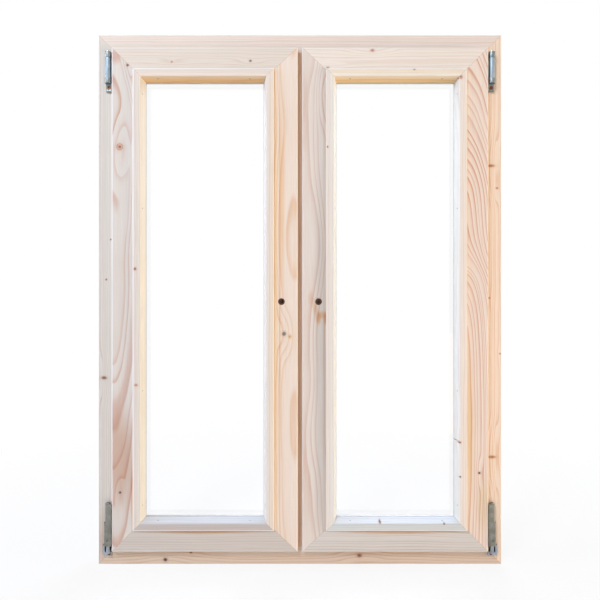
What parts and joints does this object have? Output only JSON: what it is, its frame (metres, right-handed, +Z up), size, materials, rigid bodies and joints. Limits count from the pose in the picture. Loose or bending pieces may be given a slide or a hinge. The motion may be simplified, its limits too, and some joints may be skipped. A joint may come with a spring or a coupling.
{
  "type": "casement window",
  "caption": "Timber casement window with side-hung inward-opening sashes, double glazing, turn hinges and espagnolette locks.",
  "frame": {"origin": "middle of the frame's bottom face, at mid-depth of the frame", "axes": "+X to the right seen from the room, +Y out of the room, +Z up"},
  "size_m": [0.99, 0.093, 1.3],
  "materials": {
    "frame_pine": "planed, unfinished",
    "sash_pine": "planed, unfinished",
    "bead_pine": "planed, unfinished",
    "beech": "planed, unfinished",
    "mill_aluminium": "extruded, mill finish",
    "spacer_aluminium": "rolled, perforated",
    "zinc_hinges": "zinc plated",
    "zinc_lock": "zinc plated",
    "steel_pins": "turned and polished",
    "screws": "yellow-passivated steel",
    "brads": "bright wire",
    "glass": "clear float",
    "glazing_tape": "pale grey foam tape",
    "gasket_rubber": "extruded brown rubber",
    "block_plastic": "moulded"
  },
  "bodies": {
    "frame": {"frame_jamb_left": "frame_pine", "frame_jamb_right": "frame_pine", "frame_head": "frame_pine", "frame_sill": "frame_pine", "frame_mullion": "frame_pine", "frame_corner_tenons": "beech", "mullion_dowels": "beech", "rain_rails": "mill_aluminium", "upper_bearing_left": "zinc_hinges", "upper_bearing_right": "zinc_hinges", "upper_hinge_pins": "steel_pins", "pivot_rest_left": "zinc_hinges", "pivot_rest_right": "zinc_hinges", "lock_strikers": "zinc_lock", "frame_hardware_screws": "screws"},
    "left_sash": {"left_hinge_stile": "sash_pine", "left_lock_stile": "sash_pine", "left_top_rail": "sash_pine", "left_bottom_rail": "sash_pine", "left_corner_tenons": "beech", "left_bead_hinge_side": "bead_pine", "left_bead_lock_side": "bead_pine", "left_bead_top": "bead_pine", "left_bead_bottom": "bead_pine", "left_bead_brads": "brads", "left_glass_panes": "glass", "left_glass_spacer": "spacer_aluminium", "left_glazing_tapes": "glazing_tape", "left_setting_blocks": "block_plastic", "left_sash_gasket": "gasket_rubber", "left_upper_hinge_arm": "zinc_hinges", "left_lower_hinge": "zinc_hinges", "left_hardware_screws": "screws", "left_lock_faceplate": "zinc_lock", "left_lock_case": "zinc_lock"},
    "left_lock_follower": {"left_lock_follower": "steel_pins"},
    "left_lock_rod": {"left_lock_rod": "zinc_lock"},
    "right_sash": {"right_hinge_stile": "sash_pine", "right_lock_stile": "sash_pine", "right_top_rail": "sash_pine", "right_bottom_rail": "sash_pine", "right_corner_tenons": "beech", "right_bead_hinge_side": "bead_pine", "right_bead_lock_side": "bead_pine", "right_bead_top": "bead_pine", "right_bead_bottom": "bead_pine", "right_bead_brads": "brads", "right_glass_panes": "glass", "right_glass_spacer": "spacer_aluminium", "right_glazing_tapes": "glazing_tape", "right_setting_blocks": "block_plastic", "right_sash_gasket": "gasket_rubber", "right_upper_hinge_arm": "zinc_hinges", "right_lower_hinge": "zinc_hinges", "right_hardware_screws": "screws", "right_lock_faceplate": "zinc_lock", "right_lock_case": "zinc_lock"},
    "right_lock_follower": {"right_lock_follower": "steel_pins"},
    "right_lock_rod": {"right_lock_rod": "zinc_lock"}
  },
  "joints": [
    {"name": "left_sash_swing", "type": "hinge", "parent": "frame", "child": "left_sash", "pos_m": [-0.4685, -0.044, 0.65], "axis": [0, 0, -1], "range_deg": [0, 100]},
    {"name": "left_lock_turn", "type": "hinge", "parent": "left_sash", "child": "left_lock_follower", "pos_m": [-0.04525, -0.019, 0.645], "axis": [0, -1, 0], "range_deg": [0, 90]},
    {"name": "left_rod_slide", "type": "slide", "parent": "left_sash", "child": "left_lock_rod", "axis": [0, 0, 1], "range_m": [0, 0.018]},
    {"name": "right_sash_swing", "type": "hinge", "parent": "frame", "child": "right_sash", "pos_m": [0.4685, -0.044, 0.65], "axis": [0, 0, 1], "range_deg": [0, 100]},
    {"name": "right_lock_turn", "type": "hinge", "parent": "right_sash", "child": "right_lock_follower", "pos_m": [0.04525, -0.019, 0.645], "axis": [0, 1, 0], "range_deg": [0, 90]},
    {"name": "right_rod_slide", "type": "slide", "parent": "right_sash", "child": "right_lock_rod", "axis": [0, 0, 1], "range_m": [0, 0.018]}
  ],
  "couplings": [
    {"joint": "left_lock_turn", "follows": "left_rod_slide", "rad_per_m": 87.266},
    {"joint": "right_lock_turn", "follows": "right_rod_slide", "rad_per_m": 87.266}
  ]
}
